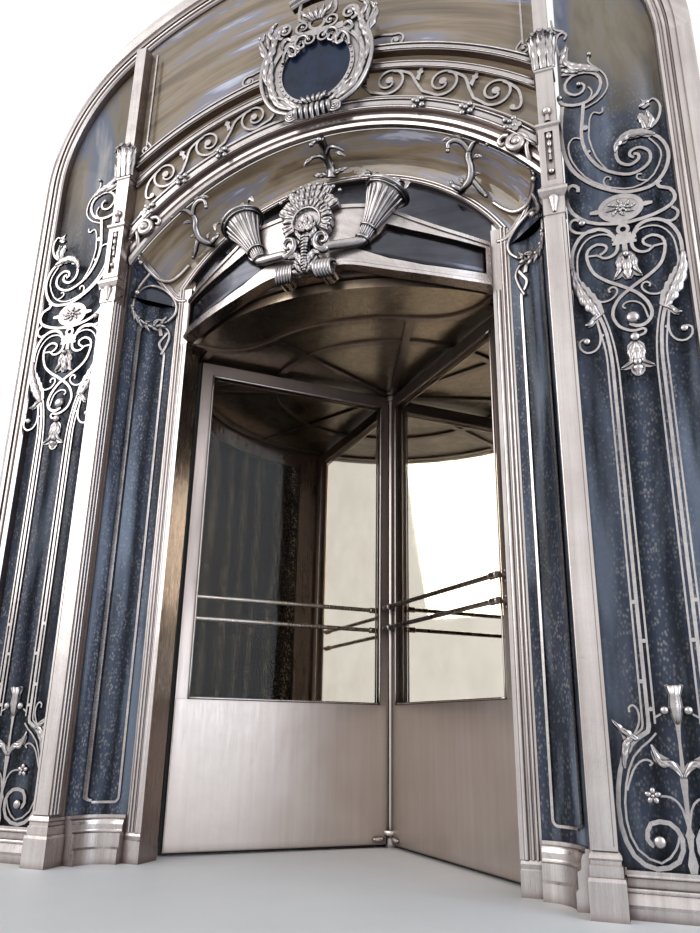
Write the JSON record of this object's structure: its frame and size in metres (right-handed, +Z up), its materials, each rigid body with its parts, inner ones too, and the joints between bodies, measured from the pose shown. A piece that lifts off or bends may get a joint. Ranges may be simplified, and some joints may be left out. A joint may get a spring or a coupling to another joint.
{
  "type": "revolving door",
  "caption": "Four-wing revolving door turning in a curved glazed drum behind an arched bronze and glass entrance bay with flat-bar scrollwork.",
  "frame": {"origin": "on the turning axis at floor level, at the middle of the floor bearing's underside", "axes": "+Z up along the turning axis, +X to the right seen from the street, -Y towards the street"},
  "size_m": [3.104, 2.3555, 4.2683],
  "materials": {
    "bronze": "satin pinkish bronze, hand polished on the edges",
    "dark_bronze": "dark brown patinated bronze",
    "bay_glass": "clear glass over dark curtain, blue-grey by reflection",
    "wing_glass": "clear polished plate glass",
    "drum_glass": "curved glass with a net curtain look",
    "rubber": "matte black",
    "enamel": "glossy dark blue enamel, left plain"
  },
  "bodies": {
    "entrance": {"floor_pivot": "bronze", "drum_frame_left": "dark_bronze", "drum_frame_right": "dark_bronze", "drum_glass_left": "drum_glass", "drum_glass_right": "drum_glass", "rear_frame": "dark_bronze", "drum_ceiling": "dark_bronze", "ceiling_ribs": "dark_bronze", "head_cornice": "dark_bronze", "door_head": "bronze", "head_board": "dark_bronze", "head_ornament": "bronze", "jamb_left": "bronze", "jamb_right": "bronze", "inner_arch": "bronze", "transom_glass": "bay_glass", "round_arch": "dark_bronze", "cove_bases": "bronze", "cove_glass": "bay_glass", "glass_trim": "bronze", "pilaster_left": "bronze", "pilaster_right": "bronze", "outer_frame_left": "bronze", "outer_frame_right": "bronze", "outer_arch": "bronze", "side_bases": "bronze", "side_glass": "bay_glass", "lunette_glass": "bay_glass", "scrollwork_left": "bronze", "scrollwork_right": "bronze", "arch_band": "bronze", "arch_scrolls": "bronze", "cartouche_frame": "bronze", "cartouche_shield": "enamel"},
    "rotor": {"centre_post": "bronze", "wing_frame_1": "bronze", "wing_frame_2": "bronze", "wing_frame_3": "bronze", "wing_frame_4": "bronze", "wing_glass_1": "wing_glass", "wing_glass_2": "wing_glass", "wing_glass_3": "wing_glass", "wing_glass_4": "wing_glass", "push_bars_1": "bronze", "push_bars_2": "bronze", "push_bars_3": "bronze", "push_bars_4": "bronze", "wing_seals": "rubber"}
  },
  "joints": [
    {"name": "rotor_spin", "type": "hinge", "parent": "entrance", "child": "rotor", "pos_m": [0, 0, 0], "axis": [0, 0, 1], "continuous": true}
  ]
}
